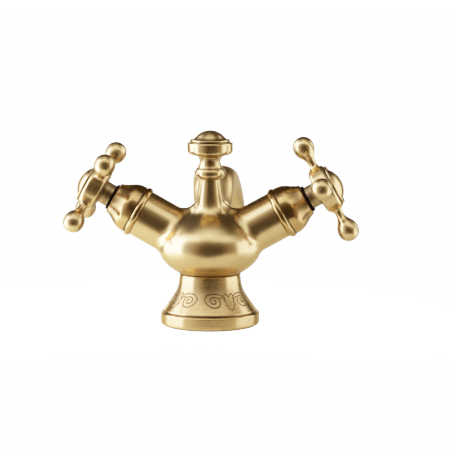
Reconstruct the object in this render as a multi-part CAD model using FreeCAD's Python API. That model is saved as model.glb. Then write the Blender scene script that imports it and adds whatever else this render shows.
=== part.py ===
"""A two-handle basin mixer with cross handles, in antique brass.

The tap stands on a turned pedestal. A bulb-shaped body carries two raised arms,
a chimney in the middle for the waste's lift rod, and a short arched spout behind
it. Each arm holds a quarter-turn valve with ceramic discs, which a cross handle
turns through a splined spindle. The knob on the chimney lifts the waste rod.

Millimetres. +Z is up, and the origin is the centre of the foot on the basin's
deck. The arms lie along X, hot on +X and cold on -X, and the spout points to +Y.
Each function below makes one piece, and the last part places and writes them.
"""
import FreeCAD
import Part
import math
import os

from FreeCAD import Placement, Rotation, Vector

# ---- Driving dimensions ----------------------------------------------------

# pedestal
FOOT_RADIUS = 26.0
FOOT_HEIGHT = 7.2
FOOT_GROOVE_RADIUS = 24.1
PEDESTAL_HEIGHT = 27.1
PEDESTAL_TOP_RADIUS = 15.8
DECK_GAP = 0.4
GASKET_THICKNESS = 2.4
GASKET_INNER_RADIUS = 19.0
GASKET_OUTER_RADIUS = 24.2

# body
BULB_RADIUS = 27.3
BULB_HALF_HEIGHT = 17.9
BULB_CENTRE_Z = 42.0
ARM_TILT = 29.25
ARM_ROOT_Z = 38.2
ARM_RADIUS = 12.6
ARM_END = 41.3
ARM_FILLET = 7.0
CHIMNEY_TOP_Z = 77.0
CHIMNEY_TOP_RADIUS = 5.5
CHIMNEY_FOOT_Z = 66.0
CHIMNEY_FOOT_RADIUS = 7.2

# inlet block in the body's foot, its holes, and the waterways
BLOCK_RADIUS = 14.3
BLOCK_RIM_RADIUS = 13.1
BLOCK_RIM_Z = 23.0
BLOCK_FACE_Z = 27.4
BLOCK_TOP_Z = 38.6
INLET_X = 7.9
INLET_Y = -2.85
INLET_RADIUS = 4.5
INLET_DEPTH = 10.0
STUD_Y = 9.3
STUD_RADIUS = 3.4
STUD_DEPTH = 10.0
SEAT_AT = 25.0
VALVE_BORE_RADIUS = 10.5
WATERWAY_RADIUS = 3.0

# lift rod, its guide and its knob
ROD_RADIUS = 2.5
ROD_BORE_RADIUS = 2.8
ROD_BOTTOM_Z = 20.0
ROD_THREAD_RADIUS = 1.65
ROD_THREAD_DEPTH = 7.0
GUIDE_RADIUS = 3.9
GUIDE_SEAT_Z = 71.2
FERRULE_TOP_Z = 82.4
KNOB_BOTTOM_Z = 82.5
KNOB_RADIUS = 12.0
KNOB_TOP_Z = 96.0
CAP_RADIUS = 10.0
DOME_BASE_RADIUS = 7.6
DOME_BASE_Z = 98.75
DOME_TOP_Z = 102.3
CAP_SEAT_Z = 95.2

# spout: points of its centre line as (reach, height), and the angles of its ends
SPOUT_ROOT = (16.7, 59.7)
SPOUT_CREST = (37.0, 72.0)
SPOUT_BEND = (57.5, 62.0)
SPOUT_OUTLET = (70.0, 44.8)
SPOUT_RISE = 52.0
SPOUT_FALL = -62.0
SPOUT_ROOT_RADIUS = 9.9
SPOUT_CREST_HALF_HEIGHT = 8.4
SPOUT_CREST_SHARE = 0.35
SPOUT_CREST_SQUARENESS = 0.6
SPOUT_OUTLET_RADIUS = 14.5
SPOUT_SECTIONS = 8
SECTION_POINTS = 16
SPOUT_SOCKET_RADIUS = 7.4
SPOUT_SOCKET_DEPTH = 9.5
SPOUT_WALL = 2.6
AERATOR_RADIUS = 11.5
AERATOR_DEPTH = 7.5

# valve, as distances out along the arm's axis
LOWER_DISC = 27.6
UPPER_DISC = 30.6
SPINDLE_FOOT = 33.8
SPINDLE_FOOT_RADIUS = 7.8
SEAL_GROOVES = (44.0, 51.0)
STEM_RADIUS = 4.95
STEM_TOP = 56.7
BELL_TOP = 58.0
PORT_ANGLE = 76
PORT_OUTER_RADIUS = 6.6
PORT_INNER_RADIUS = 2.4
DISC_PLAY = 0.02

# handle, as distances out along the arm's axis
NECK_START = 59.4
HANDLE_PLANE = 69.3
PEAR_REACH = 24.6
PEAR_RADIUS = 5.65
NECK_RADIUS = 2.2
HUB_RADIUS = 12.3
HUB_TOP = 73.5
BUTTON_TOP = 78.4
SPLINE_TEETH = 20
SPLINE_RADIUS = 4.0
SPLINE_DEPTH = 0.45
HOT_HANDLE_ANGLE = -7.0
COLD_HANDLE_ANGLE = 39.0

# clearances
FIT = 0.05
GAP = 0.1

X_AXIS = Vector(1, 0, 0)
Y_AXIS = Vector(0, 1, 0)
Z_AXIS = Vector(0, 0, 1)


# ---- Helpers ---------------------------------------------------------------

def arc(middle, end):
    """A round stretch of an outline, through middle to end."""
    return ("arc", middle, end)


def curve(*points):
    """A free stretch of an outline, a smooth curve through these points."""
    return ("curve", points)


def outline(steps):
    """The edges of a half outline, from steps in (radius, height)."""
    edges = []
    start = Vector(steps[0][0], 0, steps[0][1])
    here = start
    for step in steps[1:]:
        if step[0] == "arc":
            middle = Vector(step[1][0], 0, step[1][1])
            end = Vector(step[2][0], 0, step[2][1])
            edges.append(Part.Arc(here, middle, end).toShape())
        elif step[0] == "curve":
            points = [here] + [Vector(radius, 0, height) for radius, height in step[1]]
            end = points[-1]
            line = Part.BSplineCurve()
            line.interpolate(points)
            edges.append(line.toShape())
        else:
            end = Vector(step[0], 0, step[1])
            edges.append(Part.makeLine(here, end))
        here = end
    if here.distanceToPoint(start) > 1e-6:
        edges.append(Part.makeLine(here, start))
    return edges


def turned(*steps):
    """A piece turned about Z, from its half outline."""
    face = Part.Face(Part.Wire(outline(steps)))
    return face.revolve(Vector(0, 0, 0), Z_AXIS, 360)


def rod(radius, low, high):
    """A round bar along Z from one height to another."""
    return Part.makeCylinder(radius, high - low, Vector(0, 0, low), Z_AXIS)


def ring(inner, outer, low, high):
    """A plain ring about Z."""
    return rod(outer, low, high).cut(rod(inner, low, high))


def o_ring(inner, outer, height):
    """A seal ring of round section about Z."""
    section = (outer - inner) / 2
    return Part.makeTorus(inner + section, section, Vector(0, 0, height), Z_AXIS)


def bar(width, depth, low, high):
    """A rectangular bar about Z."""
    return Part.makeBox(width, depth, high - low, Vector(-width / 2, -depth / 2, low))


def moved(shape, placement):
    """A copy of a shape, moved as a placement says."""
    copy = shape.copy()
    copy.Placement = placement * copy.Placement
    return copy


def turned_about_z(shape, angle):
    """A copy of a shape, turned about Z."""
    return moved(shape, Placement(Vector(0, 0, 0), Rotation(Z_AXIS, angle)))


def joined(first, *others):
    """One solid from pieces that overlap."""
    return first.fuse(list(others)).removeSplitter()


def drill(radius, start, end):
    """A round hole from one point to another."""
    way = end - start
    return Part.makeCylinder(radius, way.Length, start, way)


def wedge(radius, angle, low, high):
    """A slice of a cylinder about Z, centred on +X."""
    slice_of = Part.makeCylinder(radius, high - low, Vector(0, 0, low), Z_AXIS, angle)
    return turned_about_z(slice_of, -angle / 2)


# ---- The arm's frame -------------------------------------------------------

def arm_direction(side):
    """The outward direction of an arm: side is 1 for hot and -1 for cold."""
    tilt = math.radians(ARM_TILT)
    return Vector(side * math.cos(tilt), 0, math.sin(tilt))


def arm_point(side, along):
    """A point on an arm's axis."""
    return Vector(0, 0, ARM_ROOT_Z) + arm_direction(side) * along


def on_arm(shape, side):
    """A copy of a piece made about Z, placed on an arm with +X facing up."""
    lean = Rotation(Y_AXIS, side * (90 - ARM_TILT))
    face_up = Rotation(Z_AXIS, 180 if side > 0 else 0)
    return moved(shape, Placement(Vector(0, 0, ARM_ROOT_Z), lean * face_up))


# ---- The spout's frame -----------------------------------------------------

SPOUT_SEAT = Vector(0, SPOUT_ROOT[0], SPOUT_ROOT[1])


def spout_direction(angle):
    """The unit vector in the arch's plane at an angle above the horizontal."""
    turn = math.radians(angle)
    return Vector(0, math.cos(turn), math.sin(turn))


def spout_path():
    """The centre line of the spout."""
    points = []
    for reach, height in (SPOUT_ROOT, SPOUT_CREST, SPOUT_BEND, SPOUT_OUTLET):
        points.append(Vector(0, reach, height))
    path = Part.BSplineCurve()
    path.interpolate(
        points,
        InitialTangent=spout_direction(SPOUT_RISE) * 60,
        FinalTangent=spout_direction(SPOUT_FALL) * 80,
    )
    return path


def spout_section(path, share, inset=0.0):
    """The section of the spout at a share of its length, drawn in by inset."""
    at = path.parameterAtDistance(share * path.length(), path.FirstParameter)
    centre = path.value(at)
    normal = path.tangent(at)[0].cross(X_AXIS)
    across = spout_half_width(share) - inset
    along = spout_half_height(share) - inset
    power = 2 / (2 + SPOUT_CREST_SQUARENESS * crest_weight(share))
    points = []
    for i in range(SECTION_POINTS):
        turn = 2 * math.pi * i / SECTION_POINTS
        x = math.copysign(abs(math.cos(turn)) ** power, math.cos(turn))
        y = math.copysign(abs(math.sin(turn)) ** power, math.sin(turn))
        points.append(centre + X_AXIS * across * x + normal * along * y)
    line = Part.BSplineCurve()
    line.interpolate(points, PeriodicFlag=True)
    return Part.Wire([line.toShape()])


def crest_weight(share):
    """How near a share of the length is to the crest: 1 there, and 0 at both ends."""
    if share < SPOUT_CREST_SHARE:
        return math.sin(math.pi / 2 * share / SPOUT_CREST_SHARE)
    return math.cos(math.pi / 2 * (share - SPOUT_CREST_SHARE) / (1 - SPOUT_CREST_SHARE))


def spout_half_width(share):
    """Half the spout's width, which grows most near the root."""
    grown = SPOUT_OUTLET_RADIUS - SPOUT_ROOT_RADIUS
    return SPOUT_ROOT_RADIUS + grown * (1.45 * share - 0.45 * share ** 2)


def spout_half_height(share):
    """Half the spout's height: round at both ends and flattest at the crest."""
    crest = SPOUT_CREST_SHARE
    grown = SPOUT_OUTLET_RADIUS - SPOUT_ROOT_RADIUS
    sunk = SPOUT_CREST_HALF_HEIGHT - SPOUT_ROOT_RADIUS
    bend = (grown * crest - sunk) / (crest - crest ** 2)
    return SPOUT_ROOT_RADIUS + (grown - bend) * share + bend * share ** 2


def spout_skin(first, inset=0.0):
    """The spout's skin from one of its sections on, drawn in by inset."""
    path = spout_path()
    sections = []
    for i in range(first, SPOUT_SECTIONS):
        sections.append(spout_section(path, i / (SPOUT_SECTIONS - 1), inset))
    return Part.makeLoft(sections, True, False)


def spout_frame(shape):
    """A copy of a piece made about Z, placed on the outlet with +Z inwards."""
    reach, height = SPOUT_OUTLET
    inwards = spout_direction(SPOUT_FALL + 180)
    return moved(shape, Placement(Vector(0, reach, height), Rotation(Z_AXIS, inwards)))


# ---- Pedestal --------------------------------------------------------------

def pedestal():
    """The hollow turned foot: a moulded ring under a flared skirt."""
    edge = 0.95
    groove_top = FOOT_HEIGHT + 0.7
    skirt_inner = BLOCK_RADIUS + FIT
    outside = turned(
        (0, DECK_GAP),
        (FOOT_RADIUS - 1.5, DECK_GAP),
        arc((FOOT_RADIUS - 0.45, DECK_GAP + 0.45), (FOOT_RADIUS, DECK_GAP + 1.5)),
        (FOOT_RADIUS, FOOT_HEIGHT - edge),
        arc((FOOT_RADIUS - 0.28, FOOT_HEIGHT - 0.28), (FOOT_RADIUS - edge, FOOT_HEIGHT)),
        (FOOT_GROOVE_RADIUS, FOOT_HEIGHT + 0.1),
        (FOOT_GROOVE_RADIUS, groove_top),
        (FOOT_GROOVE_RADIUS + 0.4, groove_top + 0.2),
        curve((23.3, 9.7), (20.3, 13.9), (17.8, 18.1), (16.5, 22.6), (PEDESTAL_TOP_RADIUS, 26.8)),
        (PEDESTAL_TOP_RADIUS - 0.3, PEDESTAL_HEIGHT),
        (0, PEDESTAL_HEIGHT),
    )
    hollow = turned(
        (0, DECK_GAP - 1),
        (22.6, DECK_GAP - 1),
        (22.6, 7.0),
        curve((20.6, 10.4), (17.8, 14.4), (15.6, 18.3), (skirt_inner, BLOCK_RIM_Z - 0.6)),
        (skirt_inner, PEDESTAL_HEIGHT + 1),
        (0, PEDESTAL_HEIGHT + 1),
    )
    gasket_seat = rod(GASKET_OUTER_RADIUS + GAP, DECK_GAP - 1, GASKET_THICKNESS)
    return outside.cut(hollow).cut(gasket_seat)


def base_gasket():
    """The rubber ring between the foot and the basin's deck."""
    return ring(GASKET_INNER_RADIUS, GASKET_OUTER_RADIUS, 0, GASKET_THICKNESS)


# ---- Body ------------------------------------------------------------------

def body_core():
    """The bulb with its chimney."""
    top_angle = math.radians(62)
    shoulder_r = BULB_RADIUS * math.cos(top_angle)
    shoulder_z = BULB_CENTRE_Z + BULB_HALF_HEIGHT * math.sin(top_angle)
    low_angle = math.asin((PEDESTAL_HEIGHT + 0.3 - BULB_CENTRE_Z) / BULB_HALF_HEIGHT)
    low_r = BULB_RADIUS * math.cos(low_angle)
    oval = Part.Ellipse(
        Vector(BULB_RADIUS, 0, BULB_CENTRE_Z),
        Vector(0, 0, BULB_CENTRE_Z + BULB_HALF_HEIGHT),
        Vector(0, 0, BULB_CENTRE_Z),
    )
    side = Part.Arc(oval, low_angle, top_angle).toShape()
    throat = Part.BSplineCurve()
    throat.interpolate(
        [Vector(shoulder_r, 0, shoulder_z), Vector(CHIMNEY_FOOT_RADIUS, 0, CHIMNEY_FOOT_Z)],
        InitialTangent=Vector(-14.0, 0, 5.2),
        FinalTangent=Vector(-2.2, 0, 13.0),
    )
    rest = outline([
        (CHIMNEY_FOOT_RADIUS, CHIMNEY_FOOT_Z),
        (CHIMNEY_TOP_RADIUS, CHIMNEY_TOP_Z),
        (CHIMNEY_TOP_RADIUS - 0.7, CHIMNEY_TOP_Z),
        (CHIMNEY_TOP_RADIUS - 0.7, CHIMNEY_TOP_Z + 3.4),
        (0, CHIMNEY_TOP_Z + 3.4),
        (0, PEDESTAL_HEIGHT),
        (PEDESTAL_TOP_RADIUS + 0.5, PEDESTAL_HEIGHT),
        (low_r, PEDESTAL_HEIGHT + 0.3),
    ])[:-1]
    face = Part.Face(Part.Wire([side, throat.toShape()] + rest))
    return face.revolve(Vector(0, 0, 0), Z_AXIS, 360)


def body_casting():
    """The cast body: bulb, chimney, two arms and the spout's socket, all drilled."""
    arms = []
    for side in (1, -1):
        arms.append(on_arm(rod(ARM_RADIUS, 0, ARM_END), side))
    spout_axis = spout_direction(SPOUT_RISE)
    socket_boss = Part.makeCylinder(SPOUT_ROOT_RADIUS, 16, SPOUT_SEAT, spout_axis * -1)
    body = joined(body_core(), *arms)
    body = body.makeFillet(ARM_FILLET, arm_roots(body))
    body = joined(body, socket_boss)

    rod_bore = rod(ROD_BORE_RADIUS, PEDESTAL_HEIGHT - 1, CHIMNEY_TOP_Z + 5)
    guide_seat = rod(GUIDE_RADIUS + FIT, GUIDE_SEAT_Z, CHIMNEY_TOP_Z + 5)
    block_seat = rod(BLOCK_RADIUS + FIT, PEDESTAL_HEIGHT - 1, BLOCK_TOP_Z + 0.1)
    socket_end = SPOUT_SEAT - spout_axis * SPOUT_SOCKET_DEPTH
    socket = drill(SPOUT_SOCKET_RADIUS + FIT, SPOUT_SEAT + spout_axis, socket_end)
    holes = [rod_bore, guide_seat, block_seat, socket, grub_hole()]
    for side in (1, -1):
        holes.extend(valve_bores(side))
        holes.append(riser(side))
    return body.cut(holes)


def arm_roots(body):
    """The curved edges where the arms run into the bulb."""
    found = []
    for edge in body.Edges:
        box = edge.BoundBox
        inside = box.XMax < BULB_RADIUS + 1 and box.XMin > -BULB_RADIUS - 1
        if inside and box.YLength > 0.05 and box.ZLength > 1 and edge.Length > 0.05:
            found.append(edge)
    return found


def inlet_point(side):
    """The middle of an inlet's mouth, on the inlet block's lower face."""
    return Vector(side * INLET_X, INLET_Y, BLOCK_FACE_Z)


def riser(side):
    """The waterway that rises from an inlet through the block into the casting."""
    return drill(WATERWAY_RADIUS, inlet_point(side), inlet_point(side) + Z_AXIS * 15.2)


def inlet_block():
    """The brass block in the casting's foot: two inlets, the stud's hole and a rim."""
    block = turned(
        (0, BLOCK_FACE_Z),
        (BLOCK_RIM_RADIUS, BLOCK_FACE_Z),
        (BLOCK_RIM_RADIUS, BLOCK_RIM_Z),
        (BLOCK_RADIUS - 0.4, BLOCK_RIM_Z),
        (BLOCK_RADIUS, BLOCK_RIM_Z + 0.4),
        (BLOCK_RADIUS, BLOCK_TOP_Z),
        (0, BLOCK_TOP_Z),
    )
    stud = Vector(0, STUD_Y, BLOCK_FACE_Z)
    holes = [
        rod(ROD_BORE_RADIUS, BLOCK_FACE_Z - 1, BLOCK_TOP_Z + 1),
        drill(STUD_RADIUS, stud - Z_AXIS, stud + Z_AXIS * STUD_DEPTH),
    ]
    for side in (1, -1):
        mouth = inlet_point(side)
        holes.append(drill(INLET_RADIUS, mouth - Z_AXIS, mouth + Z_AXIS * INLET_DEPTH))
        holes.append(riser(side))
    return block.cut(holes)


def grub_hole():
    """The hole for the grub screw that holds the spout's spigot."""
    start = SPOUT_SEAT - spout_direction(SPOUT_RISE) * 2.6
    outwards = spout_direction(SPOUT_RISE - 90)
    return drill(2.0 + FIT, start + outwards * 6.0, start + outwards * 20)


def valve_bores(side):
    """The valve's bore in one arm, with its feed, and its outlet to the spout."""
    seat = arm_point(side, SEAT_AT)
    bore = drill(VALVE_BORE_RADIUS, seat, arm_point(side, ARM_END + 1))
    feed = drill(4.0, arm_point(side, 9.5), seat)
    chamber = Vector(side * 25.3, 8.0, 52.4)
    outlet = drill(WATERWAY_RADIUS, Vector(0, 11.0, 52.4), chamber)
    return [bore, feed, outlet]


# ---- Spout -----------------------------------------------------------------

def spout():
    """The arched spout, hollow, with a spigot at its root and a flared outlet."""
    outside = spout_skin(0)
    inside = spout_skin(1, SPOUT_WALL)
    axis = spout_direction(SPOUT_RISE)
    spigot = Part.makeCylinder(SPOUT_SOCKET_RADIUS, SPOUT_SOCKET_DEPTH - 0.5, SPOUT_SEAT, axis * -1)
    body = joined(outside, spigot)
    inlet = drill(4.5, SPOUT_SEAT - axis * SPOUT_SOCKET_DEPTH, SPOUT_SEAT + axis * 12)
    mouth = spout_frame(rod(AERATOR_RADIUS, -1, AERATOR_DEPTH))
    grub_groove = root_frame(ring(6.4, 9, -3.9, -1.3))
    seal_groove = root_frame(ring(5.8, 9, -8.0, -6.2))
    return body.cut([inside, inlet, mouth, grub_groove, seal_groove])


def root_frame(shape):
    """A copy of a piece made about Z, placed on the spout's seat with +Z outwards."""
    return moved(shape, Placement(SPOUT_SEAT, Rotation(Z_AXIS, spout_direction(SPOUT_RISE))))


def spout_seal():
    """The seal ring in the groove of the spout's spigot."""
    return root_frame(o_ring(5.82, SPOUT_SOCKET_RADIUS + FIT, -7.1))


def spout_grub_screw():
    """The grub screw that locks the spout, with its hexagon socket."""
    start = SPOUT_SEAT - spout_direction(SPOUT_RISE) * 2.6
    outwards = spout_direction(SPOUT_RISE - 90)
    screw = joined(
        Part.makeCone(0.9, 1.25, 1.1, start + outwards * 6.5, outwards),
        drill(2.0, start + outwards * 7.5, start + outwards * 10.8),
    )
    driver_place = Placement(start + outwards * 9.0, Rotation(Z_AXIS, outwards))
    return screw.cut(moved(hexagon_bar(2.0, 2.6), driver_place))


def hexagon_bar(across_flats, height):
    """A hexagonal bar standing on the origin."""
    corner = across_flats / 2 / math.cos(math.pi / 6)
    points = []
    for i in range(7):
        turn = math.radians(60 * i)
        points.append(Vector(corner * math.cos(turn), corner * math.sin(turn), 0))
    return Part.Face(Part.makePolygon(points)).extrude(Vector(0, 0, height))


def aerator_housing():
    """The screwed ring that holds the aerator in the outlet."""
    return spout_frame(turned(
        (9.3, -2.4),
        (12.2, -2.4),
        arc((12.65, -2.2), (12.9, -1.7)),
        (12.9, -0.1),
        (AERATOR_RADIUS - FIT, -0.1),
        (AERATOR_RADIUS - FIT, 5.4),
        (10.6, 5.4),
        (10.6, 0.2),
        (9.3, 0.2),
    ))


def aerator_insert():
    """The pierced plastic cup that mixes air into the water."""
    cup = turned((0, 0.3), (10.5, 0.3), (10.5, 5.3), (9.3, 5.3), (9.3, 1.5), (0, 1.5))
    holes = [rod(0.8, 0, 2)]
    for count, radius in ((6, 3.4), (12, 6.6)):
        for i in range(count):
            turn = math.radians(360 * i / count)
            hole = rod(0.8, 0, 2)
            hole.translate(Vector(radius * math.cos(turn), radius * math.sin(turn), 0))
            holes.append(hole)
    return spout_frame(cup.cut(holes))


def aerator_washer():
    """The flat rubber washer over the aerator."""
    return spout_frame(ring(8.6, AERATOR_RADIUS - 0.1, 5.4, AERATOR_DEPTH - 0.1))


# ---- Lift rod --------------------------------------------------------------

def chimney_ferrule():
    """The beaded ferrule on the chimney, which keeps the rod's guide in place."""
    low = CHIMNEY_TOP_Z + 0.1
    return turned(
        (CHIMNEY_TOP_RADIUS - 0.7 + FIT, low),
        (6.4, low),
        arc((8.15, 79.9), (7.0, FERRULE_TOP_Z - 0.05)),
        (6.8, FERRULE_TOP_Z),
        (ROD_RADIUS + 0.2, FERRULE_TOP_Z),
        (ROD_RADIUS + 0.2, CHIMNEY_TOP_Z + 3.5),
        (CHIMNEY_TOP_RADIUS - 0.7 + FIT, CHIMNEY_TOP_Z + 3.5),
    )


def rod_guide_bush():
    """The plastic bush that guides the lift rod."""
    return ring(ROD_RADIUS + FIT, GUIDE_RADIUS, GUIDE_SEAT_Z + 1.7, CHIMNEY_TOP_Z + 3.4)


def rod_seal():
    """The seal ring under the guide bush."""
    return o_ring(ROD_RADIUS + 0.02, GUIDE_RADIUS, GUIDE_SEAT_Z + 0.8)


def lift_rod():
    """The waste's lift rod, with a threaded socket in its lower end."""
    bar_of = turned(
        (0, ROD_BOTTOM_Z),
        (ROD_RADIUS - 0.4, ROD_BOTTOM_Z),
        (ROD_RADIUS, ROD_BOTTOM_Z + 0.4),
        (ROD_RADIUS, 89.0),
        (ROD_RADIUS - 0.4, 89.4),
        (0, 89.4),
    )
    return bar_of.cut(rod(ROD_THREAD_RADIUS, ROD_BOTTOM_Z - 1, ROD_BOTTOM_Z + ROD_THREAD_DEPTH))


def lift_knob():
    """The turned knob: a waisted foot under a thick disc, hollowed for its cap."""
    return turned(
        (ROD_RADIUS + 0.01, KNOB_BOTTOM_Z),
        (6.75, KNOB_BOTTOM_Z),
        curve((6.25, 83.2), (5.85, 84.2), (5.6, 85.3), (5.5, 86.4), (5.7, 87.2)),
        (5.95, 87.3),
        curve((6.5, 88.4), (8.0, 89.1), (10.2, 89.6)),
        arc((11.5, 90.5), (KNOB_RADIUS, 92.2)),
        (KNOB_RADIUS, KNOB_TOP_Z - 1.0),
        arc((KNOB_RADIUS - 0.2, KNOB_TOP_Z - 0.3), (KNOB_RADIUS - 0.8, KNOB_TOP_Z)),
        (CAP_RADIUS + 0.2, KNOB_TOP_Z),
        (CAP_RADIUS + 0.2, CAP_SEAT_Z),
        (3.0, CAP_SEAT_Z),
        (3.0, 90.6),
        (ROD_RADIUS + 0.01, 90.6),
    )


def dome(base_radius, base_z, top_z):
    """The outline step that closes a piece with a dome, from its base to its top."""
    rise = top_z - base_z
    radius = (base_radius ** 2 + rise ** 2) / (2 * rise)
    half = math.asin(base_radius / radius) / 2
    middle = (radius * math.sin(half), top_z - radius + radius * math.cos(half))
    return arc(middle, (0, top_z))


def knob_cap():
    """The cap on the knob: a threaded plug, a bead, a flare and a dome."""
    bead_z = KNOB_TOP_Z + 0.45
    return turned(
        (0, 91.0),
        (2.6, 91.0),
        (2.95, 91.4),
        (2.95, CAP_SEAT_Z),
        (CAP_RADIUS, CAP_SEAT_Z),
        (CAP_RADIUS, bead_z),
        arc((CAP_RADIUS + 0.6, bead_z + 0.5), (CAP_RADIUS, bead_z + 1.05)),
        curve((9.0, 97.75), (8.2, 98.2), (DOME_BASE_RADIUS, DOME_BASE_Z)),
        dome(DOME_BASE_RADIUS, DOME_BASE_Z, DOME_TOP_Z),
    )


# ---- Valve, about Z with heights along the arm's axis ----------------------

def bell_cap():
    """The bell that covers the valve, with the bead at its rim."""
    return turned(
        (11.9, 41.5),
        (13.0, 41.5),
        arc((13.95, 43.2), (13.1, 44.9)),
        (12.8, 45.0),
        (12.8, 45.3),
        (13.3, 45.4),
        curve((13.05, 47.6), (12.6, 49.7), (10.95, 52.7), (9.55, 55.0), (8.65, 56.9)),
        arc((8.3, BELL_TOP - 0.3), (7.6, BELL_TOP)),
        (6.2, BELL_TOP),
        (6.2, BELL_TOP - 1.2),
        (8.1, BELL_TOP - 1.2),
        (8.1, 54.0),
        curve((9.3, 52.4), (10.9, 49.9), (11.9, 48.2)),
    )


def bell_washer():
    """The black slip washer between the bell and the handle's neck."""
    top = BELL_TOP + 1.3
    return turned((4.3, BELL_TOP), (7.25, BELL_TOP), (7.25, top - 0.3), (6.95, top), (4.3, top))


def headwork_gasket():
    """The fibre gasket between the valve and the arm's end."""
    return ring(VALVE_BORE_RADIUS, 11.6, ARM_END, ARM_END + 0.8)


def headwork_body():
    """The valve's brass body: skirt with windows, thread, flange and neck."""
    outside = turned(
        (0, 25.7),
        (9.6, 25.7),
        (9.6, 33.2),
        (VALVE_BORE_RADIUS - FIT, 34.0),
        (VALVE_BORE_RADIUS - FIT, 41.0),
        (9.9, 41.4),
        (9.9, 42.1),
        (11.6, 42.1),
        (11.6, 47.4),
        (8.0, 47.4),
        (8.0, 56.3),
        (7.7, 56.6),
        (0, 56.6),
    )
    flats = rod(16, 42.2, 47.4).cut(bar(20.0, 40, 42, 48))
    chamber = rod(8.1, 25, 36.8)
    stem_bore = rod(5.0, 36, 57)
    windows = both_sides(wedge(12, PORT_ANGLE + 4, UPPER_DISC - 0.1, 35.0))
    key_slots = bar(24, 2.5, 25, UPPER_DISC)
    return outside.cut([flats, chamber, stem_bore, key_slots] + windows)


def both_sides(shape):
    """Two copies of a shape that faces +X, one facing +Y and one facing -Y."""
    return [turned_about_z(shape, 90), turned_about_z(shape, 270)]


def seat_seal():
    """The rubber ring that seals the valve on its seat."""
    return ring(5.0, 8.0, SEAT_AT, LOWER_DISC)


def fixed_disc():
    """The fixed ceramic disc, with two ports and two keys."""
    disc = joined(rod(8.05, LOWER_DISC, UPPER_DISC), bar(19.0, 2.4, LOWER_DISC, UPPER_DISC - 0.1))
    port = wedge(PORT_OUTER_RADIUS, PORT_ANGLE, LOWER_DISC - 1, UPPER_DISC + 1)
    port = port.cut(rod(PORT_INNER_RADIUS, LOWER_DISC - 1, UPPER_DISC + 1))
    return disc.cut(both_sides(port))


def moving_disc():
    """The moving ceramic disc, notched on two sides, with a slot for the spindle."""
    slot_floor = SPINDLE_FOOT - 1.4
    disc = rod(7.95, UPPER_DISC + DISC_PLAY, SPINDLE_FOOT)
    notch = wedge(9, PORT_ANGLE, UPPER_DISC - 1, slot_floor)
    notch = notch.cut(rod(PORT_INNER_RADIUS, UPPER_DISC - 1, slot_floor))
    slot = bar(3.7, 13.4, slot_floor, SPINDLE_FOOT + 1)
    return disc.cut([notch, turned_about_z(notch, 180), slot])


def spindle():
    """The splined spindle, with its drive tab, foot, and grooves for its seals."""
    foot = SPINDLE_FOOT + DISC_PLAY
    steps = [
        (0, foot),
        (SPINDLE_FOOT_RADIUS, foot),
        (SPINDLE_FOOT_RADIUS, SPINDLE_FOOT + 2.15),
        (STEM_RADIUS, SPINDLE_FOOT + 2.15),
    ]
    for height in SEAL_GROOVES:
        low, high = height - 0.7, height + 0.7
        floor = STEM_RADIUS - 1.2
        steps += [(STEM_RADIUS, low), (floor, low), (floor, high), (STEM_RADIUS, high)]
    steps += [
        (STEM_RADIUS, STEM_TOP),
        (3.5, STEM_TOP),
        (3.5, STEM_TOP + 0.8),
        (SPLINE_RADIUS, STEM_TOP + 0.8),
        (SPLINE_RADIUS, NECK_START),
        (0, NECK_START),
    ]
    stem = turned(*steps)
    tab = bar(3.6, 13.2, SPINDLE_FOOT - 1.3, SPINDLE_FOOT + 0.2)
    spline = spline_bar(SPLINE_RADIUS, NECK_START - 0.1, 66.8)
    return joined(stem, tab, spline).cut(rod(2.55, 56.6, 67))


def spline_bar(tip_radius, low, high):
    """A splined bar about Z, its teeth spaced evenly."""
    root_radius = tip_radius - SPLINE_DEPTH
    pitch = 2 * math.pi / SPLINE_TEETH
    flanks = ((-0.32, root_radius), (-0.14, tip_radius), (0.14, tip_radius), (0.32, root_radius))
    points = []
    for tooth in range(SPLINE_TEETH):
        for share, radius in flanks:
            turn = (tooth + share) * pitch
            points.append(Vector(radius * math.cos(turn), radius * math.sin(turn), low))
    points.append(points[0])
    return Part.Face(Part.makePolygon(points)).extrude(Vector(0, 0, high - low))


def spindle_seals():
    """The two seal rings on the spindle."""
    rings = []
    for height in SEAL_GROOVES:
        rings.append(o_ring(STEM_RADIUS - 1.18, STEM_RADIUS + 0.03, height))
    return Part.makeCompound(rings)


def slip_ring():
    """The plastic ring that the spindle's foot turns against."""
    return ring(5.1, 7.9, 36.0, 36.75)


def spindle_circlip():
    """The spring clip that holds the spindle in, open on one side."""
    gap = bar(4.0, 2.0, STEM_TOP - 1, STEM_TOP + 1.3)
    gap.translate(X_AXIS * -4.6)
    return ring(3.55, 5.6, STEM_TOP + 0.05, STEM_TOP + 0.75).cut(gap)


# ---- Handle, about Z with heights along the arm's axis ---------------------

def pear_arm():
    """One pear-shaped arm of the cross, turned about its own axis along +X."""
    ball = PEAR_REACH
    tip = ball + PEAR_RADIUS
    slant = PEAR_RADIUS * math.sqrt(0.5)
    profile = turned(
        (0, 7.0),
        (NECK_RADIUS, 7.0),
        (NECK_RADIUS, 15.0),
        curve((2.45, 16.7), (3.1, 18.4), (4.3, 20.1), (5.4, 22.6), (PEAR_RADIUS, ball)),
        arc((slant, ball + slant), (0, tip)),
    )
    lying = Rotation(X_AXIS, 90) * Rotation(Z_AXIS, X_AXIS)
    return moved(profile, Placement(Vector(0, 0, HANDLE_PLANE), lying))


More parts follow.
